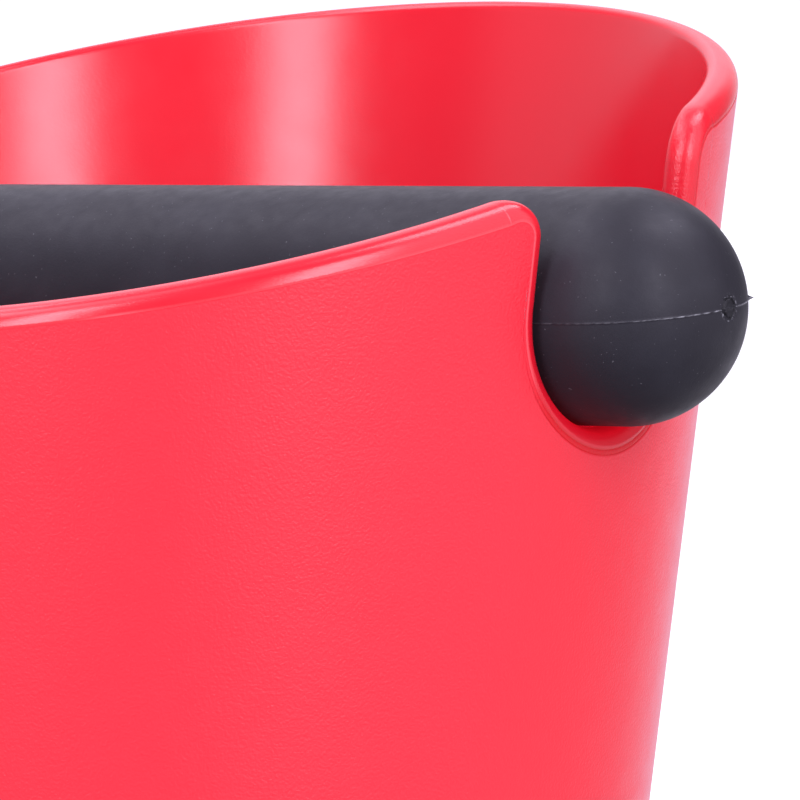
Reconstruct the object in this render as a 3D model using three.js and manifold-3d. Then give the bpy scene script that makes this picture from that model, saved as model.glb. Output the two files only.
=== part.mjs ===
// Espresso knock box: a tapered round bucket with a slanted rim and two notches, a rubber-covered
// steel knock bar that lies in the notches, and a rubber ring under the base.
// Millimetres, +Z up, +X along the knock bar, the low side of the rim towards -Y.

import * as THREE from 'three';
import { mergeVertices } from 'three/addons/utils/BufferGeometryUtils.js';
import Module from 'manifold-3d';

const wasm = await Module();
wasm.setup();

// Knock bar
const barLength = 175; // tip to tip over its round ends
const barRadius = 15; // outside of the rubber
const barHeight = 101.5; // its axis above the table
const coreRadius = 7; // steel rod inside the rubber
const coreLength = 150;
const coreChamfer = 1;
const pinHoleRadius = 1.5; // hole at the left tip, left by the pin that held the rod in the mould

// Bucket
const radiusAtBar = 71.6; // outside radius at the height of the bar's axis
const taper = THREE.MathUtils.degToRad(7); // half angle of the cone
const wall = 4.4;
const floorThickness = 5;
const floorFillet = 9; // inside corner between floor and wall
const baseRound = 2; // outside corner at the base

// Rim, as heights above the bar's axis
const rimRise = 19.7; // above the bar's axis at mid depth
const rimSlope = 0.283; // rise towards the back, per millimetre
const rimBow = 0.43; // drop of the front and back ends below that straight line

// Notches
const fitGap = 0.3; // between pieces that touch
const notchHalfWidth = barRadius + fitGap;
const frontCornerRadius = 4.5;
const backCornerRadius = 8;

// Base ring
const ringOuterRadius = 56.5;
const ringInnerRadius = 49.5;
const ringHeight = 4;
const ringProud = 1.5; // how far it stands below the bucket
const ringRound = 0.6;

// Facets
const bucketSegments = 96;
const ringSegments = 72;
const barSegments = 48;
const cutSegments = 16;
const domeSteps = 12;
const filletSteps = 6;
const roundSteps = 3;

const quarter = Math.PI / 2;
const xAxis = new THREE.Vector3(1, 0, 0);
const yAxis = new THREE.Vector3(0, 1, 0);
const zAxis = new THREE.Vector3(0, 0, 1);

const outerRadius = (z) => radiusAtBar + (z - barHeight) * Math.tan(taper);
const innerRadius = (z) => outerRadius(z) - wall / Math.cos(taper);
const rimHeight = (y) => barHeight + rimRise + rimSlope * y - rimBow * (y / radiusAtBar) ** 2;

// Points of an arc of a lathe profile, from one angle to another about (r, z)
function arc(r, z, radius, from, to, steps) {
  return Array.from({ length: steps + 1 }, (_, i) => {
    const angle = from + ((to - from) * i) / steps;
    return new THREE.Vector2(r + radius * Math.cos(angle), z + radius * Math.sin(angle));
  });
}

// A profile of (radius, height) points turned round the Z axis
function turned(profile, segments) {
  return new THREE.LatheGeometry(profile, segments).rotateX(quarter);
}

function toSolid(geometry) {
  const bare = geometry.clone();
  bare.deleteAttribute('normal');
  bare.deleteAttribute('uv');
  const merged = mergeVertices(bare);
  const vertProperties = new Float32Array(merged.attributes.position.array);
  const triVerts = new Uint32Array(merged.index.array);
  return new wasm.Manifold(new wasm.Mesh({ numProp: 3, vertProperties, triVerts }));
}

function toGeometry(solid) {
  const { vertProperties, triVerts } = solid.getMesh();
  const geometry = new THREE.BufferGeometry();
  geometry.setAttribute('position', new THREE.BufferAttribute(vertProperties, 3));
  geometry.setIndex(new THREE.BufferAttribute(triVerts, 1));
  geometry.computeVertexNormals();
  return geometry;
}

// The bucket before its rim is cut: a closed cup, taller than the rim, with a groove underneath
function cupBlank() {
  const baseZ = ringProud;
  const floorZ = baseZ + floorThickness;
  const blankTop = rimHeight(radiusAtBar) + 2 * wall;
  const grooveTop = ringHeight + fitGap;
  const grooveInner = ringInnerRadius - fitGap;
  const grooveOuter = ringOuterRadius + fitGap;
  const filletZ = floorZ + floorFillet;
  const filletR = innerRadius(filletZ) - floorFillet / Math.cos(taper);
  const roundZ = baseZ + baseRound;
  const roundR = outerRadius(roundZ) - baseRound / Math.cos(taper);
  return turned([
    new THREE.Vector2(0, baseZ),
    new THREE.Vector2(grooveInner, baseZ),
    new THREE.Vector2(grooveInner, grooveTop),
    new THREE.Vector2(grooveOuter, grooveTop),
    new THREE.Vector2(grooveOuter, baseZ),
    ...arc(roundR, roundZ, baseRound, -quarter, -taper, filletSteps),
    new THREE.Vector2(outerRadius(blankTop), blankTop),
    new THREE.Vector2(innerRadius(blankTop), blankTop),
    ...arc(filletR, filletZ, floorFillet, -taper, -quarter, filletSteps),
    new THREE.Vector2(0, floorZ),
  ], bucketSegments);
}

// What is cut away, seen along the bar: all that is above the rim, and the U of the notches
function rimCut() {
  const reach = 2 * radiusAtBar;
  const rimAngle = Math.atan(rimSlope);
  const rimNormal = quarter + rimAngle;
  const frontY = -(notchHalfWidth + frontCornerRadius);
  const backY = notchHalfWidth + backCornerRadius;
  const frontZ = rimHeight(frontY) - frontCornerRadius / Math.cos(rimAngle);
  const backZ = rimHeight(backY) - backCornerRadius / Math.cos(rimAngle);
  const frontEndY = frontY + frontCornerRadius * Math.cos(rimNormal);
  const backEndY = backY + backCornerRadius * Math.cos(rimNormal);
  const top = rimHeight(reach) + wall;

  const outline = new THREE.Shape();
  const followRim = (fromY, toY) => {
    const steepness = rimSlope - (2 * rimBow * fromY) / radiusAtBar ** 2;
    const half = (toY - fromY) / 2;
    outline.quadraticCurveTo(fromY + half, rimHeight(fromY) + steepness * half, toY, rimHeight(toY));
  };
  outline.moveTo(-reach, top);
  outline.lineTo(-reach, rimHeight(-reach));
  followRim(-reach, frontEndY);
  outline.absarc(frontY, frontZ, frontCornerRadius, rimNormal, 0, true);
  outline.absarc(0, barHeight, notchHalfWidth, Math.PI, 2 * Math.PI, false);
  outline.absarc(backY, backZ, backCornerRadius, Math.PI, rimNormal, true);
  followRim(backEndY, reach);
  outline.lineTo(reach, top);
  outline.closePath();

  const options = { depth: 2 * reach, bevelEnabled: false, curveSegments: cutSegments };
  return new THREE.ExtrudeGeometry(outline, options)
    .applyMatrix4(new THREE.Matrix4().makeBasis(yAxis, zAxis, xAxis))
    .translate(-reach, 0, 0);
}

function bucketGeometry() {
  return toGeometry(toSolid(cupBlank()).subtract(toSolid(rimCut())));
}

// Ring with a rounded rectangular section, pressed into the groove under the bucket
function baseRingGeometry() {
  const inner = ringInnerRadius + ringRound;
  const outer = ringOuterRadius - ringRound;
  const low = ringRound;
  const high = ringHeight - ringRound;
  const section = [
    ...arc(inner, low, ringRound, -2 * quarter, -quarter, roundSteps),
    ...arc(outer, low, ringRound, -quarter, 0, roundSteps),
    ...arc(outer, high, ringRound, 0, quarter, roundSteps),
    ...arc(inner, high, ringRound, quarter, 2 * quarter, roundSteps),
  ];
  return turned([...section, section[0].clone()], ringSegments);
}

// Steel rod with chamfered ends, along Z before it is laid down
function coreGeometry() {
  const half = coreLength / 2;
  const neck = coreRadius - coreChamfer;
  return turned([
    new THREE.Vector2(0, -half),
    new THREE.Vector2(neck, -half),
    new THREE.Vector2(coreRadius, -half + coreChamfer),
    new THREE.Vector2(coreRadius, half - coreChamfer),
    new THREE.Vector2(neck, half),
    new THREE.Vector2(0, half),
  ], barSegments);
}

// Rubber moulded over the rod: a bar with hemispherical ends, a cavity that the rod fills,
// and a small hole from one tip to the cavity, along Z before it is laid down
function sleeveGeometry() {
  const domeCentre = barLength / 2 - barRadius;
  const holeAngle = Math.acos(pinHoleRadius / barRadius);
  const cavityRadius = coreRadius + fitGap;
  const cavityHalf = coreLength / 2 + fitGap;
  return turned([
    new THREE.Vector2(0, cavityHalf),
    new THREE.Vector2(cavityRadius, cavityHalf),
    new THREE.Vector2(cavityRadius, -cavityHalf),
    new THREE.Vector2(pinHoleRadius, -cavityHalf),
    ...arc(0, -domeCentre, barRadius, -holeAngle, 0, domeSteps),
    ...arc(0, domeCentre, barRadius, 0, quarter, domeSteps).slice(0, -1),
    new THREE.Vector2(0, barLength / 2),
  ], barSegments);
}

function piece(name, geometry, color, roughness, metalness) {
  const material = new THREE.MeshStandardMaterial({ color, roughness, metalness });
  const mesh = new THREE.Mesh(geometry, material);
  mesh.name = name;
  return mesh;
}

const bucket = piece('bucket', bucketGeometry(), 0xe8293f, 0.35, 0);
const baseRing = piece('base_ring', baseRingGeometry(), 0x232327, 0.85, 0);
const core = piece('knock_bar_core', coreGeometry(), 0xa9adb3, 0.35, 1);
const sleeve = piece('knock_bar_sleeve', sleeveGeometry(), 0x3b3c44, 0.7, 0);

const knockBar = new THREE.Group();
knockBar.add(core, sleeve);
knockBar.rotation.y = quarter;
knockBar.position.z = barHeight;

// The origin lies under the middle of the whole object, on the table
const knockBox = new THREE.Group();
knockBox.add(bucket, baseRing, knockBar);
knockBox.position.y = -new THREE.Box3().setFromObject(bucket).getCenter(new THREE.Vector3()).y;

export default knockBox;
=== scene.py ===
"""Espresso knock box: a red tapered bucket with a slanted rim and two notches, and a
rubber-covered bar that lies in the notches. Metres, +Z up, +X along the bar."""

import math

import bmesh
import bpy
import numpy as np
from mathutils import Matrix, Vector, noise


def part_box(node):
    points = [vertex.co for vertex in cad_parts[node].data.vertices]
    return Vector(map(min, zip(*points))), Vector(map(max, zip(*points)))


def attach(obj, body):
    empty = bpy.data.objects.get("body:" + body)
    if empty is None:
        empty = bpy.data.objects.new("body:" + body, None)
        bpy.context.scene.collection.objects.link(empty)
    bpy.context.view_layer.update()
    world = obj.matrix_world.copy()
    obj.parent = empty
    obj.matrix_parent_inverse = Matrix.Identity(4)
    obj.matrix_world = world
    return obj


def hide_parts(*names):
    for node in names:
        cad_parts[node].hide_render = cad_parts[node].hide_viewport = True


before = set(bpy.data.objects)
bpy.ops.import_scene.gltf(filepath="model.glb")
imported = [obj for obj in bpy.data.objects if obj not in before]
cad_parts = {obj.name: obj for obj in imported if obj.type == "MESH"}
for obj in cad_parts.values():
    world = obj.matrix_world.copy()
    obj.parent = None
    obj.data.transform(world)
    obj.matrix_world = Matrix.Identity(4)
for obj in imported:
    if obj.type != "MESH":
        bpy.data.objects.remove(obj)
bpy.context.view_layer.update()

MM = 0.001
QUARTER = math.pi / 2

# Places and sizes that the frame gives
BASE_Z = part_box("bucket")[0].z
BAR_LOW, BAR_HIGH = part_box("knock_bar_sleeve")
RING_LOW, RING_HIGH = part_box("base_ring")
SLEEVE_SWELL = 0.12 * MM  # the real sleeve fills most of the gap that the CAD keeps round it
BAR_RADIUS = (BAR_HIGH.z - BAR_LOW.z) / 2 + SLEEVE_SWELL
AXIS_Y = (BAR_HIGH.y + BAR_LOW.y) / 2  # the bar's axis and the bucket's cross here
AXIS_Z = (BAR_HIGH.z + BAR_LOW.z) / 2
RING_OUTER = (RING_HIGH.x - RING_LOW.x) / 2
RING_TOP = RING_HIGH.z

# Bucket, with the sizes of the CAD part and a rim drawn more finely
RADIUS_AT_BAR = 71.6 * MM  # outside, at the height of the bar's axis
TAPER = math.radians(7)
WALL = 4.4 * MM
FLOOR_THICKNESS = 5 * MM
FLOOR_FILLET = 9 * MM
BASE_ROUND = 2 * MM
RIM_RISE = 19.66 * MM  # above the bar's axis at mid depth
RIM_SLOPE = 0.275
RIM_BOW = 0.43 * MM
NOTCH_HALF_WIDTH = 15.3 * MM
FRONT_CORNER = 5.2 * MM
BACK_CORNER = 8 * MM
FIT_GAP = 0.3 * MM  # between the ring and its groove, and between the rod and the rubber

# Moulded edges of the bucket
RIM_FILLET_DOWN = 3.1 * MM  # how far the outer fillet of the rim reaches down the wall at mid depth
RIM_FILLET_LEAN = 0.24 * MM  # and how much further at the back
NOTCH_FILLET_DOWN = 2.85 * MM
OUTER_FILLET_ACROSS = 3.3 * MM  # how far the outer fillets reach across the top of the wall
INNER_FILLET = 1.1 * MM
EDGE_BLEND = 9  # points on each side over which one edge of the wall blends into the next
SEAM_WIDTH = 0.22 * MM  # of the lines that the parts of the mould leave on the outside
SEAM_HEIGHT = 0.06 * MM  # where a line stands proud, on the front rim
SEAM_DEPTH = 0.11 * MM  # where a line is sunk, under the bar
BACK_SEAM_DEPTH = 0.7 * SEAM_DEPTH
INNER_SEAM_DEPTH = 1.5 * SEAM_DEPTH  # of the line nearer the notch, under the bar
SEAM_GAP = 0.3 * MM  # between the two lines around a notch
SEAM_GAP_UNDER_BAR = 0.68 * MM
SLIDE_SEAM_SETBACK = math.radians(0.75)  # of the lines across the rim beside each notch
SEAM_GLINT_PLACE = math.radians(-59)  # painted glint on the seam along the front rim's lower edge, round from +X
SEAM_GLINT_REACH = math.radians(2.6)

# How much lighter (up to 1, a painted highlight) or darker (down to -1, painted shade) the seams are than the
# plastic
FRONT_SEAM_PAINTED_HIGHLIGHT = 0.25
SIDE_SEAM_PAINTED_HIGHLIGHT = 0.65  # more painted highlight than that towards the sides of the front rim
SLIDE_SEAM_PAINTED_HIGHLIGHT = 0.6
# painted shade in the sunk seam at the back
BACK_SEAM_PAINTED_SHADE = -0.8
BETWEEN_SEAMS_PAINTED_SHADE = -0.6  # painted shade between the two lines under the bar, in the bar's shade
PALE_SEAM_FROM = 46 * MM  # distance to the side where the front seam's painted highlight starts to get stronger
PALE_SEAM_REACH = 16 * MM

# Knock bar
BAR_LENGTH = 175 * MM + 2 * SLEEVE_SWELL
DOME_X = BAR_LENGTH / 2 - BAR_RADIUS  # middle of the round end
CORE_RADIUS = 7 * MM
CORE_LENGTH = 150 * MM
PIN_HOLE_RADIUS = 1.5 * MM
FLASH_TILT = math.radians(-7.1)  # of the parting plane, the near side low
FLASH_WIDTH = 0.11 * MM
FLASH_HEIGHT = 0.11 * MM
TAG_SIZE = 0.45 * MM  # shred of rubber left on the far moulding line, beyond the right tip
TAG_TURN = math.radians(37)  # its place, from the tip round towards the back
TAG_OFF_AXIS = BAR_RADIUS * math.sin(TAG_TURN)
TAG_PLACE = Vector((DOME_X + BAR_RADIUS * math.cos(TAG_TURN),
                    AXIS_Y + TAG_OFF_AXIS * math.cos(FLASH_TILT),
                    AXIS_Z - TAG_OFF_AXIS * math.sin(FLASH_TILT)))
MARK_RADIUS = 1.3 * MM  # round mark at the right tip
MARK_WIDTH = 0.26 * MM
MARK_DEPTH = 0.26 * MM

# Base ring
RING_WIDTH = 7 * MM
RING_ROUND = 0.6 * MM

# View of the object
CAMERA_AZIMUTH = math.radians(36.524)  # round to the right, from the bar's middle
CAMERA_ELEVATION = math.radians(1.183)
CAMERA_DISTANCE = 1.02884
LOOK_AZIMUTH = math.radians(34.8127)  # of the camera's own axis, which passes beside the bar's middle
LOOK_ELEVATION = math.radians(1.9153)
CAMERA_LENS = 352.339
SENSOR_WIDTH = 36


# ---------------------------------------------------------------- meshes

def outer_radius(z):
    return RADIUS_AT_BAR + (z - AXIS_Z) * math.tan(TAPER)


def inner_radius(z):
    return outer_radius(z) - WALL / math.cos(TAPER)


def rim_height(y):
    """Height of the rim, from how far behind the bucket's axis its outer edge is."""
    return AXIS_Z + RIM_RISE + RIM_SLOPE * y - RIM_BOW * (y / RADIUS_AT_BAR) ** 2


def arc(centre, radius, start, end, steps):
    """Points of an arc in a plane, both ends included."""
    angles = np.linspace(start, end, steps + 1)
    return np.array(centre) + radius * np.column_stack([np.cos(angles), np.sin(angles)])


def straight(start, end, steps):
    """Points of a straight line in a plane, both ends included."""
    return np.linspace(start, end, steps + 1)


def joined(*pieces):
    """Stretches of an outline that share their end points, as one outline."""
    return np.concatenate([pieces[0]] + [piece[1:] for piece in pieces[1:]])


def unit(vectors):
    return vectors / np.linalg.norm(vectors, axis=1, keepdims=True)


def ring_of(radius, z, angles):
    """A circle about the bucket's axis, with a point at each angle."""
    return np.column_stack([radius * np.cos(angles), AXIS_Y + radius * np.sin(angles), z + 0 * angles])


def rising(value, start, reach):
    """0 up to a start, then rising to 1 over a reach."""
    return np.clip((value - start) / reach, 0, 1)


def eased(values):
    """Values round a loop, each replaced by the mean of its neighbours on both sides."""
    shifts = range(-EDGE_BLEND, EDGE_BLEND + 1)
    return sum(np.roll(values, shift, axis=0) for shift in shifts) / len(shifts)


def linked(name, data):
    """A new object in the scene that holds this mesh, light or camera."""
    item = bpy.data.objects.new(name, data)
    bpy.context.scene.collection.objects.link(item)
    return item


def new_piece(name, points, faces):
    """A smooth-shaded piece, its faces all pointing out."""
    mesh = bpy.data.meshes.new(name)
    mesh.from_pydata(points.tolist(), [], faces)
    mesh.polygons.foreach_set("use_smooth", [True] * len(faces))
    work = bmesh.new()
    work.from_mesh(mesh)
    bmesh.ops.recalc_face_normals(work, faces=work.faces)
    work.to_mesh(mesh)
    work.free()
    return linked(name, mesh)


def closed_body(name, rows):
    """A piece through closed rows of points. The first and last rows are single points."""
    count = len(rows[1])
    points = np.concatenate([rows[0][:1]] + rows[1:-1] + [rows[-1][:1]])
    last = len(points) - 1
    faces = []
    for i in range(len(rows) - 1):
        low = 1 + (i - 1) * count
        high = low + count
        for j in range(count):
            k = (j + 1) % count
            if i == 0:
                faces.append((0, high + k, high + j))
            elif i == len(rows) - 2:
                faces.append((last, low + j, low + k))
            else:
                faces.append((low + j, low + k, high + k, high + j))
    return new_piece(name, points, faces)


# ---------------------------------------------------------------- bucket

def notch_outline(stretch):
    """Side view of the right notch as (distance behind the axis, height), from front rim to back rim.
    The rim is level across the wall, so seen from the side it is steeper on the inside by stretch."""
    rim_angle = math.atan(RIM_SLOPE * stretch)
    rim_normal = QUARTER + rim_angle
    left, right = -NOTCH_HALF_WIDTH, NOTCH_HALF_WIDTH
    front_y = left - FRONT_CORNER
    back_y = right + BACK_CORNER
    front_z = rim_height(front_y * stretch) - FRONT_CORNER / math.cos(rim_angle)
    back_z = rim_height(back_y * stretch) - BACK_CORNER / math.cos(rim_angle)
    return joined(
        arc((front_y, front_z), FRONT_CORNER, rim_normal, 0, steps=24),
        straight((left, front_z), (left, AXIS_Z), steps=16),
        arc((0, AXIS_Z), NOTCH_HALF_WIDTH, math.pi, 2 * math.pi, steps=72),
        straight((right, AXIS_Z), (right, back_z), steps=24),
        arc((back_y, back_z), BACK_CORNER, math.pi, rim_normal, steps=28),
    )


def rim_stretch(far_end, notch_end):
    """Angles of a stretch of the rim towards a notch, and how strongly each belongs to the line across it."""
    width = math.copysign(SEAM_WIDTH / RADIUS_AT_BAR, notch_end - far_end)
    seam = notch_end - math.copysign(SLIDE_SEAM_SETBACK, width)
    offsets = np.array([-1, -0.6, -0.3, 0, 0.3, 0.6, 1])  # from the line's middle, in widths
    spread = 0.4  # of the line's profile, in widths
    before = np.linspace(far_end, seam - 2 * width, num=110)
    after = np.linspace(seam + 2 * width, notch_end, num=6)
    angle = np.concatenate([before, seam + width * offsets, after])
    strength = np.concatenate([0 * before, np.exp(-(offsets / spread) ** 2), 0 * after])
    return angle, strength


def edge_loop(radius_at, stretch):
    """Sharp edge of the rim and both notches on a cone: (angle, height) round the bucket's axis, and for
    each point whether it belongs to a notch and how strongly it belongs to a line across the rim."""
    notch = notch_outline(stretch)
    notch_angle = np.arcsin(notch[:, 0] / radius_at(notch[:, 1]))
    front, front_seam = rim_stretch(-QUARTER, notch_angle[0])
    back, back_seam = (values[::-1] for values in rim_stretch(QUARTER, notch_angle[-1]))
    rims = []
    settling_rounds = 8  # the rim's height depends on its radius, and that on its height
    for angle in (front, back):
        height = np.full(len(angle), AXIS_Z + RIM_RISE)
        for _ in range(settling_rounds):
            height = rim_height(outer_radius(height) * np.sin(angle))
        rims.append(np.column_stack([angle, height]))
    half = joined(rims[0], np.column_stack([notch_angle, notch[:, 1]]), rims[1])
    in_notch = joined(0 * front, 0 * notch_angle + 1, 0 * back)
    seam = joined(front_seam, 0 * notch_angle, back_seam)
    mirrored = np.column_stack([math.pi - half[:, 0], half[:, 1]])[::-1]
    loop = joined(half, mirrored)[:-1]
    return loop, joined(in_notch, in_notch[::-1])[:-1] > 0.5, joined(seam, seam[::-1])[:-1]


def on_cone(loop, radius_at):
    angle, height = loop[:, 0], loop[:, 1]
    radius = radius_at(height)
    return np.column_stack([radius * np.cos(angle), AXIS_Y + radius * np.sin(angle), height])


def cone_angles(points):
    """Angle round the bucket's axis of each point, rising all the way round."""
    return np.unwrap(np.arctan2(points[:, 1] - AXIS_Y, points[:, 0]))


def snapped(points, radius_at):
    """Points moved square to the axis onto a cone."""
    return on_cone(np.column_stack([cone_angles(points), points[:, 2]]), radius_at)


def cone_normals(points):
    angle = cone_angles(points)
    level = math.cos(TAPER)
    return np.column_stack([level * np.cos(angle), level * np.sin(angle), 0 * angle - math.sin(TAPER)])


def into_wall(points):
    """At each point of an edge loop, the direction along the wall that leads away from the cut."""
    along = np.roll(points, -1, axis=0) - np.roll(points, 1, axis=0)
    return unit(np.cross(along, cone_normals(points)))


def base_angles(loop):
    """Where each column of the wall ends at the base, so that no two columns cross."""
    step = np.roll(loop, -1, axis=0) - loop
    step[-1, 0] += 2 * math.pi
    height_weight = 0.6  # how much a steep stretch of the edge spreads its columns at the base
    length = np.hypot(step[:, 0] * RADIUS_AT_BAR, height_weight * step[:, 1])
    share = np.concatenate([[0], np.cumsum(length)[:-1]]) / length.sum()
    return loop[0, 0] + 2 * math.pi * share


def wall_rows(low_angles, low_z, top, radius_at, steps):
    """Rows of a conical wall from a level circle up to the points of a loop, both ends included."""
    top_angles = cone_angles(top)
    top_angles += 2 * math.pi * np.round((low_angles - top_angles) / (2 * math.pi))
    rows = []
    crowding = 1.7  # above 1, rows stand closer together towards the top
    for share in 1 - (1 - np.linspace(0, 1, steps + 1)) ** crowding:
        angle = low_angles + (top_angles - low_angles) * share
        height = low_z + (top[:, 2] - low_z) * share
        rows.append(on_cone(np.column_stack([angle, height]), radius_at))
    return rows


def lip_rows(outer_loop, is_notch, slide_seam):
    """Rows over the edge of the wall: the seams of the mould, the outer fillet and the inner one. With them,
    for each point: how much painted highlight or painted shade a seam and the plastic under the bar get, how
    much painted glow stands in for light through the plastic under the bar, and how rough the back wall of a
    notch is."""
    rim_z = AXIS_Z + RIM_RISE
    inner_loop, _, _ = edge_loop(inner_radius, outer_radius(rim_z) / inner_radius(rim_z))
    outer = on_cone(outer_loop, outer_radius)
    inner = on_cone(inner_loop, inner_radius)
    across = unit(inner - outer)
    down_outside = into_wall(outer)
    down_inside = into_wall(inner)
    outward = cone_normals(outer)
    is_front = outer[:, 1] < AXIS_Y
    below_axis = np.where(is_notch, (AXIS_Z - outer_loop[:, 1]) / NOTCH_HALF_WIDTH, 0)

    # The lines along the lower edge of the outer fillet: how far down the wall, and how proud or deep
    lean = RIM_FILLET_LEAN * np.sin(outer_loop[:, 0])
    down = eased(np.where(is_notch, NOTCH_FILLET_DOWN, RIM_FILLET_DOWN + lean))[:, None]
    under = rising(below_axis, 0, 2 / 3)[:, None]
    gap = SEAM_GAP + (SEAM_GAP_UNDER_BAR - SEAM_GAP) * under
    ridge = np.where(is_front, SEAM_HEIGHT, -BACK_SEAM_DEPTH)[:, None]
    inner_line = ridge - (ridge + INNER_SEAM_DEPTH) * under
    outer_line = -SEAM_DEPTH * under
    half = SEAM_WIDTH / 2
    slide_line = SEAM_HEIGHT * slide_seam[:, None]

    # Painted light and shade of the seams and under the bar, painted glow, and roughness, here for the first
    # five rows
    none = 0 * below_axis
    beneath = rising(below_axis, 0.45, 0.3)  # in the bar's shade
    rough = eased(1.0 * (is_notch & ~is_front & (outer[:, 2] > AXIS_Z)))
    # Painted highlight on the front seams, stronger towards the sides and at a glint; painted shade in the
    # back seam and, in the bar's shade, on the seams and between them
    sideways = rising(np.abs(outer[:, 0]), PALE_SEAM_FROM, PALE_SEAM_REACH)
    seam_glint = np.exp(-((outer_loop[:, 0] - SEAM_GLINT_PLACE) / SEAM_GLINT_REACH) ** 2)
    front_painted_highlight = FRONT_SEAM_PAINTED_HIGHLIGHT + SIDE_SEAM_PAINTED_HIGHLIGHT * sideways + seam_glint
    crease = np.where(is_front, front_painted_highlight, BACK_SEAM_PAINTED_SHADE) * (1 - beneath) - beneath
    between = BETWEEN_SEAMS_PAINTED_SHADE * beneath
    painted_light_and_shade = [none, -beneath, between, between, crease]
    painted_glow = [none] * len(painted_light_and_shade)
    roughness = [none] * len(painted_light_and_shade)

    def outside(distance, height=0.0):
        return snapped(outer + distance * down_outside, outer_radius) + height * outward

    rows = [
        outside(down + gap + half),
        outside(down + gap, outer_line),
        outside(down + gap - half, 0.3 * outer_line),
        outside(down + half, 1.3 * outer_line),
        outside(down, inner_line),
    ]
    for turn in np.linspace(0, QUARTER, num=15)[1:]:
        along_wall = down * (1 - math.sin(turn)) * down_outside
        along_top = OUTER_FILLET_ACROSS * (1 - math.cos(turn)) * across
        rows.append(outer + along_wall + along_top + slide_line * math.cos(turn) ** 2 * outward)
        # painted highlight along the slide seam
        painted_light_and_shade.append(SLIDE_SEAM_PAINTED_HIGHLIGHT * slide_seam * is_front * math.cos(turn))
        # painted glow in the bar's shade, in place of light through the plastic
        painted_glow.append(beneath * min(2 * math.sin(turn) ** 2, 1))
        roughness.append(rough)
    for turn in np.linspace(QUARTER, 0, num=8):
        along_wall = INNER_FILLET * (1 - math.sin(turn)) * down_inside
        rows.append(inner + along_wall - INNER_FILLET * (1 - math.cos(turn)) * across)
        painted_light_and_shade.append(none)
        painted_glow.append(beneath)
        roughness.append(rough)
    return rows, {"painted_light_and_shade": painted_light_and_shade, "painted_glow": painted_glow, "rough": roughness}


def underside_profile():
    """(radius, height) from the middle of the underside to the start of the wall."""
    groove_inner = RING_OUTER - RING_WIDTH - FIT_GAP
    groove_outer = RING_OUTER + FIT_GAP
    groove_top = RING_TOP + FIT_GAP
    round_z = BASE_Z + BASE_ROUND
    round_r = outer_radius(round_z) - BASE_ROUND / math.cos(TAPER)
    edge = 0.3 * MM  # of the small chamfers, and the spacing of the rows that keep flat faces flat
    gate_radius = 1.3 * MM  # mark of the gate, in a shallow recess
    recess_radius = 5 * MM
    recess = 0.7 * MM
    points = [
        (0.4 * gate_radius, BASE_Z + 0.3 * recess),
        (gate_radius, BASE_Z + 0.45 * recess),
        (gate_radius + edge, BASE_Z + recess),
        (recess_radius - edge, BASE_Z + recess),
        (recess_radius, BASE_Z + recess - edge),
        (recess_radius, BASE_Z + edge),
        (recess_radius + edge, BASE_Z),
        (recess_radius + 3 * edge, BASE_Z),
        (groove_inner - 3 * edge, BASE_Z),
        (groove_inner - edge, BASE_Z),
        (groove_inner, BASE_Z + edge),
        (groove_inner, groove_top - edge),
        (groove_inner + edge, groove_top),
        (groove_outer - edge, groove_top),
        (groove_outer, groove_top - edge),
        (groove_outer, BASE_Z + edge),
        (groove_outer + 0.3 * edge, BASE_Z + 0.3 * edge),
        (groove_outer + edge, BASE_Z),
    ]
    return points + arc((round_r, round_z), BASE_ROUND, -QUARTER, -TAPER, steps=8).tolist()


def floor_profile():
    """(radius, height) from the foot of the inner wall to near the middle of the floor."""
    floor_z = BASE_Z + FLOOR_THICKNESS
    fillet_z = floor_z + FLOOR_FILLET
    fillet_r = inner_radius(fillet_z) - FLOOR_FILLET / math.cos(TAPER)
    beside_fillet = fillet_r - 2 * MM  # a row that keeps the floor flat
    near_middle = 0.2 * fillet_r
    points = arc((fillet_r, fillet_z), FLOOR_FILLET, -TAPER, -QUARTER, steps=12).tolist()
    return points + [(beside_fillet, floor_z), (near_middle, floor_z)]


def make_bucket():
    loop, is_notch, slide_seam = edge_loop(outer_radius, 1)
    angles = base_angles(loop)
    underside = underside_profile()
    floor = floor_profile()
    lip, marks = lip_rows(loop, is_notch, slide_seam)
    wall_low = underside[-1][1]
    outside = wall_rows(angles, wall_low, lip[0], outer_radius, steps=36)
    inside = wall_rows(angles, floor[0][1], lip[-1], inner_radius, steps=36)[::-1]
    bottom = [ring_of(r, z, angles) for r, z in underside[:-1]]
    middle = [ring_of(r, z, angles) for r, z in floor[1:]]
    start = [ring_of(0, underside[0][1], angles)]
    end = [ring_of(0, floor[-1][1], angles)]
    rows = start + bottom + outside + lip[1:-1] + inside + middle + end
    bucket = closed_body("bucket_shell", rows)

    # The grain of the mould stops at the line along the lower edge of the fillet, three rows up the lip
    first_lip_row = len(start + bottom + outside)
    is_smooth = np.arange(len(rows) - 1) >= first_lip_row + 3
    slots = np.repeat(is_smooth, len(angles)).astype(int)
    bucket.data.polygons.foreach_set("material_index", slots.tolist())
    bucket.data.materials.append(grained_plastic())
    bucket.data.materials.append(smooth_plastic())

    for name, values in marks.items():
        whole = np.zeros(len(bucket.data.vertices))
        marked = np.concatenate(values[1:-1])
        first_point = 1 + (first_lip_row - 1) * len(angles)
        whole[first_point:first_point + len(marked)] = marked
        bucket.data.attributes.new(name, "FLOAT", "POINT").data.foreach_set("value", whole)
    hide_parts("bucket")
    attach(bucket, "bucket")


# ---------------------------------------------------------------- knock bar

def round_angles():
    """Angles round the bar, closer together beside the two moulding lines."""
    near = np.array([0, 0.2, 0.4, 0.7, 1.1, 1.7, 2.5, 3.6, 5, 7, 9.5])
    side = np.concatenate([near, np.arange(12.5, 90.1, 2.5)])
    half = np.concatenate([side, 180 - side[::-1][1:]])
    return np.radians(np.concatenate([half, half[1:-1] + 180]))


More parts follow.
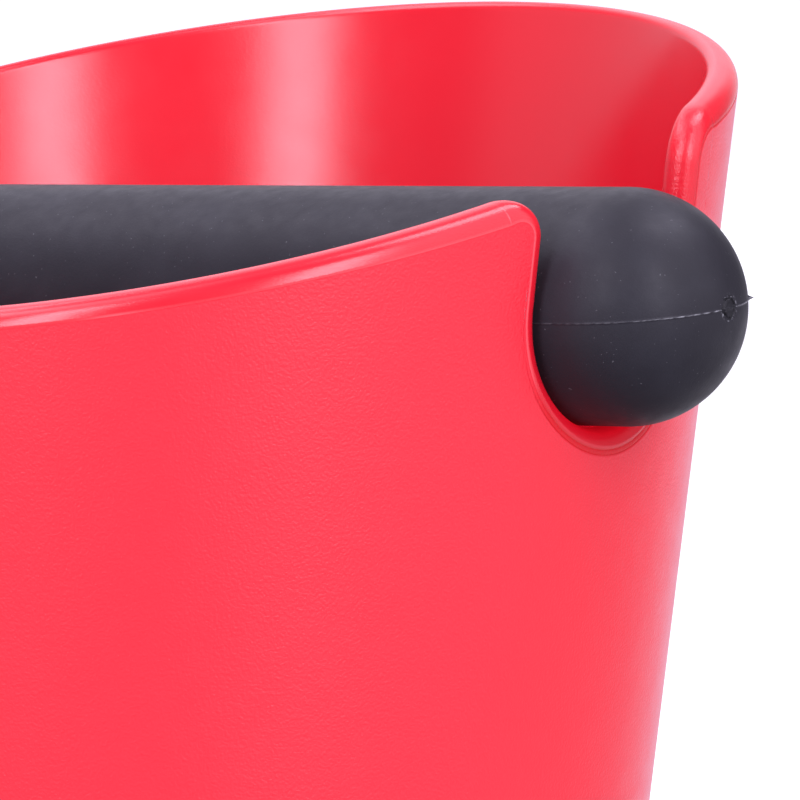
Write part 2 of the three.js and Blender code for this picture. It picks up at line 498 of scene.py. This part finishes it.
def sleeve_rows():
    """Rows from the far end of the cavity, out through the pin hole and over the outside to the right tip."""
    cavity_half = CORE_LENGTH / 2 + FIT_GAP
    cavity_radius = CORE_RADIUS + FIT_GAP
    hole_angle = math.asin(PIN_HOLE_RADIUS / BAR_RADIUS)
    angles = round_angles()

    def row(x, radius):
        """A circle about the bar; its angles start at the near moulding line."""
        turned = angles + FLASH_TILT
        y = AXIS_Y - radius * np.cos(turned)
        return np.column_stack([x + 0 * angles, y, AXIS_Z + radius * np.sin(turned)])

    def dome(middle, start, end, steps):
        return arc((middle, 0), BAR_RADIUS, start, end, steps)

    # Rows stand closer together near the right end, over the torn shred and over the mark of the tip
    close_from = 0.8 * DOME_X
    tag_start = TAG_TURN + math.radians(3)
    tag_end = TAG_TURN - math.radians(3)
    tip_start = math.radians(11)
    tip_end = math.radians(0.4)
    outline = joined(
        dome(-DOME_X, math.pi - hole_angle, QUARTER, steps=40),
        straight((-DOME_X, BAR_RADIUS), (close_from, BAR_RADIUS), steps=100),
        straight((close_from, BAR_RADIUS), (DOME_X, BAR_RADIUS), steps=40),
        dome(DOME_X, QUARTER, tag_start, steps=36),
        dome(DOME_X, tag_start, tag_end, steps=14),
        dome(DOME_X, tag_end, tip_start, steps=20),
        dome(DOME_X, tip_start, tip_end, steps=60),
    )
    inside = [(cavity_half, 0), (cavity_half, cavity_radius), (-cavity_half, cavity_radius),
              (-cavity_half, PIN_HOLE_RADIUS)]
    rows = [row(x, radius) for x, radius in inside]
    rows += [with_moulding_marks(row(x, radius), x, angles) for x, radius in outline]
    rows.append(row(DOME_X + BAR_RADIUS, 0))
    return rows


def ragged(place, *layers):
    """Sum of layers of noise, each given by its strength and its scale in cells per metre."""
    return sum(strength * noise.noise(place * scale) for strength, scale in layers)


def with_moulding_marks(points, x, angles):
    """Raises the moulding lines, the torn shred and the round mark of the tip on a row of the outside."""
    axis_point = np.array([np.clip(x, -DOME_X, DOME_X), AXIS_Y, AXIS_Z])
    outward = unit(points - axis_point)
    from_axis = np.hypot(points[0, 1] - AXIS_Y, points[0, 2] - AXIS_Z)
    from_line = from_axis * np.abs(np.sin(angles))
    raised = np.empty(len(points))
    for i, point in enumerate(points):
        place = Vector(point)
        tear = 0.75 + ragged(place, (0.5, 900), (0.35, 4000))
        line = FLASH_HEIGHT * max(tear, 0.1) * math.exp(-(from_line[i] / FLASH_WIDTH) ** 2)
        tag = max(0, 1.15 - (place - TAG_PLACE).length / (0.7 * TAG_SIZE))
        raised[i] = line + TAG_SIZE * tag * (0.6 + tear)
        if x > DOME_X and from_axis < 2 * MARK_RADIUS:
            reach = from_axis + ragged(place, (0.3 * MM, 1100), (0.1 * MM, 4000))
            flaking = max(noise.noise(place * 2600 + Vector((7, 3, 1))), 0)
            groove = math.exp(-((reach - MARK_RADIUS) / MARK_WIDTH) ** 2)
            flake = math.exp(-((reach - 1.18 * MARK_RADIUS) / (0.6 * MARK_WIDTH)) ** 2)
            raised[i] += MARK_DEPTH * (1.3 * flake * flaking - groove) - line * groove
    return points + raised[:, None] * outward


def scuffs(place):
    """How pale the rubber is at a place, up to 1, on the torn moulding line, and how dark, down to -1, in
    the round mark of the right tip."""
    tip = BAR_LENGTH / 2
    height = (place.z - AXIS_Z) * math.cos(FLASH_TILT) + (place.y - AXIS_Y) * math.sin(FLASH_TILT)
    near_line = math.exp(-(height / (0.6 * FLASH_WIDTH)) ** 2)
    near_tip = rising(place.x, tip - 14 * MM, 12 * MM)
    torn = noise.noise(place * 1600) + 0.6 * noise.noise(place * 5000 + Vector((3, 1, 8)))
    share_torn = rising(torn, -0.25 - 0.3 * near_tip, 1)
    on_line = near_line * share_torn * (0.25 + 0.75 * near_tip ** 2)
    from_axis = math.hypot(place.y - AXIS_Y, place.z - AXIS_Z)
    if place.x < tip - MM or from_axis > 1.5 * MARK_RADIUS:
        return on_line
    if from_axis > 1.15 * MARK_RADIUS:
        edge = math.exp(-((from_axis - 1.25 * MARK_RADIUS) / MARK_WIDTH) ** 2)
        return max(on_line, 0.6 * edge * rising(torn, 0.25, 0.5))
    return min(max(-0.45 + 0.6 * torn, -1), 0)


def make_sleeve():
    sleeve = closed_body("bar_rubber_sleeve", sleeve_rows())
    wear = sleeve.data.attributes.new("wear", "FLOAT", "POINT")
    wear.data.foreach_set("value", [scuffs(vertex.co) for vertex in sleeve.data.vertices])
    sleeve.data.materials.append(bar_rubber())
    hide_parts("knock_bar_sleeve")
    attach(sleeve, "bar_sleeve")


# ---------------------------------------------------------------- base ring and core

def make_base_ring():
    """Rubber ring with a rounded rectangular section, closed on itself."""
    outer = RING_OUTER - RING_ROUND
    inner = RING_OUTER - RING_WIDTH + RING_ROUND
    bottom = RING_LOW.z + RING_ROUND
    top = RING_TOP - RING_ROUND
    section = np.concatenate([
        arc((inner, bottom), RING_ROUND, math.pi, 1.5 * math.pi, steps=6),
        arc((outer, bottom), RING_ROUND, 1.5 * math.pi, 2 * math.pi, steps=6),
        arc((outer, top), RING_ROUND, 0, QUARTER, steps=6),
        arc((inner, top), RING_ROUND, QUARTER, math.pi, steps=6),
    ])
    around = np.linspace(0, 2 * math.pi, num=241)[:-1]
    points = np.concatenate([ring_of(r, z, around) for r, z in section])
    count, rounds = len(around), len(section)
    faces = []
    for i in range(rounds):
        for j in range(count):
            low, high = i * count, ((i + 1) % rounds) * count
            k = (j + 1) % count
            faces.append((low + j, high + j, high + k, low + k))
    ring = new_piece("rubber_ring", points, faces)
    ring.data.materials.append(ring_rubber())
    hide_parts("base_ring")
    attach(ring, "bucket")


def finish_core():
    """The CAD rod inside the rubber stays, in a material of its own."""
    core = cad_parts["knock_bar_core"]
    core.data.materials.clear()
    core.data.materials.append(drawn_steel())


# ---------------------------------------------------------------- materials

class Nodes:
    """A material's node tree, with one line for each node."""

    def __init__(self, name):
        self.material = bpy.data.materials.new(name)
        self.material.use_nodes = True
        self.tree = self.material.node_tree
        self.shader = self.tree.nodes["Principled BSDF"]
        self.place = self.tree.nodes.new("ShaderNodeTexCoord").outputs["Object"]

    def add(self, kind, **values):
        node = self.tree.nodes.new(kind)
        for name, value in values.items():
            if name in node.inputs:
                self.put(node.inputs[name], value)
            else:
                setattr(node, name, value)
        return node

    def put(self, socket, value):
        if isinstance(value, bpy.types.NodeSocket):
            self.tree.links.new(value, socket)
        else:
            socket.default_value = value

    def noise(self, scale, detail=2.0, roughness=0.5):
        kind = "ShaderNodeTexNoise"
        node = self.add(kind, Vector=self.place, Scale=scale, Detail=detail, Roughness=roughness)
        return node.outputs["Fac"]

    def mapped(self, value, source, target):
        """A value mapped from one range onto another, and held within it."""
        node = self.add("ShaderNodeMapRange", Value=value)
        for name, number in zip(("From Min", "From Max", "To Min", "To Max"), (*source, *target)):
            node.inputs[name].default_value = number
        return node.outputs["Result"]

    def mixed(self, factor, first, second):
        node = self.add("ShaderNodeMix", data_type="RGBA")
        for name, value in (("Factor_Float", factor), ("A_Color", first), ("B_Color", second)):
            self.put(next(socket for socket in node.inputs if socket.identifier == name), value)
        return next(socket for socket in node.outputs if socket.identifier == "Result_Color")

    def bump(self, height, distance, normal=None, strength=1.0):
        node = self.add("ShaderNodeBump", Height=height, Distance=distance, Strength=strength)
        if normal is not None:
            self.put(node.inputs["Normal"], normal)
        return node.outputs["Normal"]

    def attribute(self, name):
        return self.add("ShaderNodeAttribute", attribute_name=name).outputs["Fac"]

    def finish(self, **values):
        for name, value in values.items():
            self.put(self.shader.inputs[name.replace("_", " ")], value)
        return self.material


PLASTIC_RED = (0.745, 0.0085, 0.024, 1)
PLASTIC_RED_LIGHT = (0.745, 0.0097, 0.0265, 1)
POLISHED_RED = (0.645, 0.0057, 0.018, 1)
POLISHED_RED_LIGHT = (0.645, 0.0067, 0.0195, 1)
# painted highlight and painted shade of the seams
PAINTED_SEAM_HIGHLIGHT = (0.8, 0.075, 0.09, 1)
PAINTED_SEAM_SHADE = (0.55, 0.0, 0.002, 1)
PAINTED_GLOW_RED = (1, 0.004, 0.014, 1)  # painted glow, emitted in the bar's shade in place of light that comes through the plastic
RUBBER = (0.0155, 0.0148, 0.0195, 1)
RUBBER_WITH_FILM = (0.021, 0.0206, 0.0265, 1)
DUST = (0.3, 0.3, 0.32, 1)
TORN_RUBBER = (0.28, 0.28, 0.3, 1)
MARK_BLACK = (0.004, 0.004, 0.005, 1)
RING_BLACK = (0.02, 0.02, 0.022, 1)
STEEL = (0.6, 0.62, 0.64, 1)
FLOOR_WHITE = (0.9, 0.9, 0.9, 1)
BLUISH_SHEEN = (0.8, 0.85, 1, 1)

SHARE = (0, 1)
NEGATIVE_SHARE = (0, -1)
MIDDLE = (0.3, 0.7)  # most values of a noise lie here


def with_painted_seam_light(nodes, tint):
    """A plastic tint with a painted highlight on the lighter seams of the mould, and painted shade on the
    darker seams and under the bar.
    """
    painted_light_and_shade = nodes.attribute("painted_light_and_shade")
    lighter = nodes.mixed(nodes.mapped(painted_light_and_shade, SHARE, SHARE), tint, PAINTED_SEAM_HIGHLIGHT)
    return nodes.mixed(nodes.mapped(painted_light_and_shade, NEGATIVE_SHARE, SHARE), lighter, PAINTED_SEAM_SHADE)


def varied(nodes, first, second):
    """A tint that drifts softly between two."""
    drift = nodes.noise(scale=25, detail=3)
    return nodes.mixed(nodes.mapped(drift, MIDDLE, SHARE), first, second)


def grained_plastic():
    """Outside of the bucket: satin ABS with the fine grain of its mould."""
    nodes = Nodes("bucket_grained_red")
    grain = nodes.bump(nodes.noise(scale=2700, detail=2), 0.07 * MM)
    relief = nodes.bump(nodes.noise(scale=60, detail=2), 0.02 * MM, normal=grain)
    roughness = nodes.mapped(nodes.noise(scale=300, detail=3), MIDDLE, (0.35, 0.41))
    # less reflection where painted shade darkens the seams and the plastic under the bar
    specular = nodes.mapped(nodes.attribute("painted_light_and_shade"), NEGATIVE_SHARE, (0.5, 0.1))
    return nodes.finish(Base_Color=with_painted_seam_light(nodes, varied(nodes, PLASTIC_RED, PLASTIC_RED_LIGHT)),
                        Roughness=roughness, Specular_IOR_Level=specular, IOR=1.5, Normal=relief,
                        Sheen_Weight=0.45, Sheen_Roughness=0.25, Sheen_Tint=BLUISH_SHEEN)


def smooth_plastic():
    """Inside, rim and notches of the bucket: the same ABS from a polished mould."""
    nodes = Nodes("bucket_smooth_red")
    fine = nodes.bump(nodes.noise(scale=3000, detail=2), 0.01 * MM)
    relief = nodes.bump(nodes.noise(scale=45, detail=2), 0.008 * MM, normal=fine)
    ragged_wall = nodes.bump(nodes.noise(scale=2200, detail=3, roughness=0.7), 0.075 * MM,
                             normal=relief, strength=nodes.attribute("rough"))
    roughness = nodes.mapped(nodes.noise(scale=200, detail=3), MIDDLE, (0.21, 0.25))
    # In the bar's shade the reflections are damped (painted shade) and the plastic glows (painted glow)
    specular = nodes.mapped(nodes.attribute("painted_glow"), SHARE, (0.5, 0.15))
    emission = nodes.mapped(nodes.attribute("painted_glow"), SHARE, (0, 0.36))
    return nodes.finish(Base_Color=with_painted_seam_light(nodes, varied(nodes, POLISHED_RED, POLISHED_RED_LIGHT)),
                        Roughness=roughness, Specular_IOR_Level=specular, IOR=1.5, Normal=ragged_wall,
                        Emission_Color=PAINTED_GLOW_RED, Emission_Strength=emission)


def bar_rubber():
    """Matt rubber with a thin cloudy film and a little coffee dust."""
    nodes = Nodes("bar_dark_rubber")
    fine = nodes.bump(nodes.noise(scale=2200, detail=3, roughness=0.7), 0.02 * MM)
    relief = nodes.bump(nodes.noise(scale=160, detail=3), 0.01 * MM, normal=fine)
    roughness = nodes.mapped(nodes.noise(scale=500, detail=3), MIDDLE, (0.42, 0.52))
    film = nodes.mapped(nodes.noise(scale=70, detail=4, roughness=0.6), (0.45, 0.7), SHARE)
    dust = nodes.mapped(nodes.noise(scale=2500, detail=1), (0.75, 0.78), (0, 0.2))
    wear = nodes.attribute("wear")
    tint = nodes.mixed(film, RUBBER, RUBBER_WITH_FILM)
    tint = nodes.mixed(dust, tint, DUST)
    tint = nodes.mixed(nodes.mapped(wear, SHARE, SHARE), tint, TORN_RUBBER)
    tint = nodes.mixed(nodes.mapped(wear, NEGATIVE_SHARE, SHARE), tint, MARK_BLACK)
    return nodes.finish(Base_Color=tint, Roughness=roughness, Specular_IOR_Level=0.19, IOR=1.5,
                        Normal=relief)


def ring_rubber():
    nodes = Nodes("ring_black_rubber")
    relief = nodes.bump(nodes.noise(scale=2500, detail=3), 0.02 * MM)
    roughness = nodes.mapped(nodes.noise(scale=400, detail=3), MIDDLE, (0.65, 0.8))
    return nodes.finish(Base_Color=RING_BLACK, Roughness=roughness, Normal=relief)


def drawn_steel():
    nodes = Nodes("core_drawn_steel")
    relief = nodes.bump(nodes.noise(scale=900, detail=2), 0.01 * MM)
    roughness = nodes.mapped(nodes.noise(scale=600, detail=3), MIDDLE, (0.3, 0.45))
    return nodes.finish(Base_Color=STEEL, Metallic=1.0, Roughness=roughness, Normal=relief)


def floor_white():
    nodes = Nodes("floor_white")
    roughness = nodes.mapped(nodes.noise(scale=3, detail=3), SHARE, (0.85, 0.95))
    return nodes.finish(Base_Color=FLOOR_WHITE, Roughness=roughness,
                        Emission_Color=(1, 1, 1, 1), Emission_Strength=0.3)


# ---------------------------------------------------------------- studio

LIGHT_TINT = (1.05, 1.0, 1.18, 1)
BACKDROP_STRENGTH = 1.05
FLOOR_HALF = 30
SURROUND_RADIUS = 4
SURROUND_STEP = 5  # degrees between the points of the cloth
STAND_DISTANCE = 1.6  # of the upright softboxes
STAND_WIDTH = 0.42
STAND_RADIANCE = 9.0


def make_floor():
    mesh = bpy.data.meshes.new("floor")
    low, high = -FLOOR_HALF, FLOOR_HALF
    corners = [(low, low, 0), (high, low, 0), (high, high, 0), (low, high, 0)]
    mesh.from_pydata(corners, [], [(0, 1, 2, 3)])
    floor = linked("floor", mesh)
    floor.data.materials.append(floor_white())
    floor.visible_diffuse = False
    floor.visible_glossy = False


def make_world():
    world = bpy.data.worlds.new("studio")
    bpy.context.scene.world = world
    world.use_nodes = True
    background = world.node_tree.nodes["Background"]
    background.inputs["Color"].default_value = LIGHT_TINT
    background.inputs["Strength"].default_value = BACKDROP_STRENGTH


def direction(azimuth, elevation):
    """From the object towards a place seen at an azimuth (0 is -Y, positive to the right) and elevation."""
    level = math.cos(elevation)
    return Vector((math.sin(azimuth) * level, -math.cos(azimuth) * level, math.sin(elevation)))


def make_softbox(name, place, width, height, radiance, down=False):
    """An upright area light that faces the bar, or one that faces down, as bright as asked for."""
    light = bpy.data.lights.new(name, "AREA")
    light.shape = "RECTANGLE"
    light.size, light.size_y = width, height
    light.energy = radiance * math.pi * width * height
    light.color = LIGHT_TINT[:3]
    lamp = linked(name, light)
    lamp.location = place
    if not down:
        lamp.rotation_euler = Vector((place.x, place.y - AXIS_Y, 0)).to_track_quat("Z", "Y").to_euler()
    lamp.visible_camera = False


def make_lights():
    """Two upright softboxes in front, whose reflections are the bright bands inside the bucket, and two
    panels overhead."""
    for name, azimuth, bottom, height in (("softbox_left", 6, 0.12, 1.72), ("softbox_right", 63, 0.04, 1.6)):
        middle = Vector((0, 0, bottom + height / 2))
        place = STAND_DISTANCE * direction(math.radians(azimuth), 0) + middle
        make_softbox(name, place, STAND_WIDTH, height, STAND_RADIANCE)
    make_softbox("high_right", Vector((0.41, 0.42, 1.22)), width=0.45, height=0.95, radiance=6.0, down=True)
    make_softbox("high_left", Vector((-0.72, -0.15, 1.22)), width=0.55, height=0.7, radiance=3.6, down=True)


def step_up(value, edge, softness):
    """0 well below an edge and 1 well above it, in degrees."""
    share = min(max((value - edge) / softness + 0.5, 0), 1)
    return share * share * (3 - 2 * share)


def between(value, low, high, softness):
    """1 well between two edges and 0 well outside them, in degrees."""
    return step_up(value, low, softness) * (1 - step_up(value, high, softness))


def surround_radiance(azimuth, elevation):
    """Brightness of the cloth around the set: dark in front, brighter at the left, behind and high up."""
    left = 1 - step_up(azimuth, -40, 8)
    far_left = 1 - step_up(azimuth, -108, 30)
    behind = step_up(azimuth, 190, 12)
    upper = step_up(elevation, 27, 20)

    # Round the set, with a pale screen at the right
    screen = between(azimuth, 75, 130, 12) * (1 - step_up(elevation, 61, 12))
    front = 0.3 + 0.05 * step_up(azimuth, 20, 20) + 1.42 * screen - 0.17 * step_up(azimuth, 145, 20)
    level = front + (0.85 - front) * left + (0.8 - front) * behind
    level += upper * (0.4 * behind - 0.4 * left + 1.05 * far_left)

    # Overhead, with two pale cloths high up at the left of the front
    level += (0.5 - level) * step_up(elevation, 65, 20)
    wide_cloth = step_up(azimuth, -52, 16) * (1 - step_up(azimuth, 10, 24))
    level += 1.8 * between(elevation, 48, 80, 12) * wide_cloth
    level += 3.0 * between(elevation, 47, 68, 10) * between(azimuth, -50, -20, 12)

    # The table top, paler close behind the object and dark below it
    table = 0.93 - 0.15 * step_up(azimuth, 135, 20)
    table += 0.4 * step_up(azimuth, 180, 20) * (1 - step_up(-elevation, 12, 10))
    table += (0.3 - table) * step_up(-elevation, 40, 20)
    return level + (table - level) * step_up(-elevation, 2, 6)


def make_surround():
    """A cloth all round the set. It lights the set and shows in reflections, and the camera sees past it."""
    elevations = range(-90, 91, SURROUND_STEP)
    azimuths = range(-150, 211, SURROUND_STEP)
    places = [(azimuth, elevation) for elevation in elevations for azimuth in azimuths]
    points = [SURROUND_RADIUS * direction(*map(math.radians, place)) for place in places]
    count = len(azimuths)
    faces = [(low + j, low + j + 1, low + count + j + 1, low + count + j)
             for low in range(0, len(points) - count, count) for j in range(count - 1)]
    mesh = bpy.data.meshes.new("surround")
    mesh.from_pydata(points, [], faces)
    brightness = mesh.attributes.new("brightness", "FLOAT", "POINT")
    brightness.data.foreach_set("value", [surround_radiance(*place) for place in places])
    surround = linked("surround", mesh)
    nodes = Nodes("surround_cloth")
    surround.data.materials.append(nodes.finish(
        Base_Color=(0, 0, 0, 1), Roughness=1.0, Specular_IOR_Level=0.0,
        Emission_Color=LIGHT_TINT, Emission_Strength=nodes.attribute("brightness")))
    surround.visible_camera = False


def make_camera():
    data = bpy.data.cameras.new("camera")
    data.lens = CAMERA_LENS
    data.sensor_width = SENSOR_WIDTH
    camera = linked("camera", data)
    middle = Vector((0, AXIS_Y, AXIS_Z))
    camera.location = middle + CAMERA_DISTANCE * direction(CAMERA_AZIMUTH, CAMERA_ELEVATION)
    back = direction(LOOK_AZIMUTH, LOOK_ELEVATION)
    camera.rotation_euler = back.to_track_quat("Z", "Y").to_euler()
    bpy.context.scene.camera = camera


make_bucket()
make_sleeve()
make_base_ring()
finish_core()
make_floor()
make_world()
make_surround()
make_lights()
make_camera()
bpy.context.scene.view_settings.view_transform = "Standard"
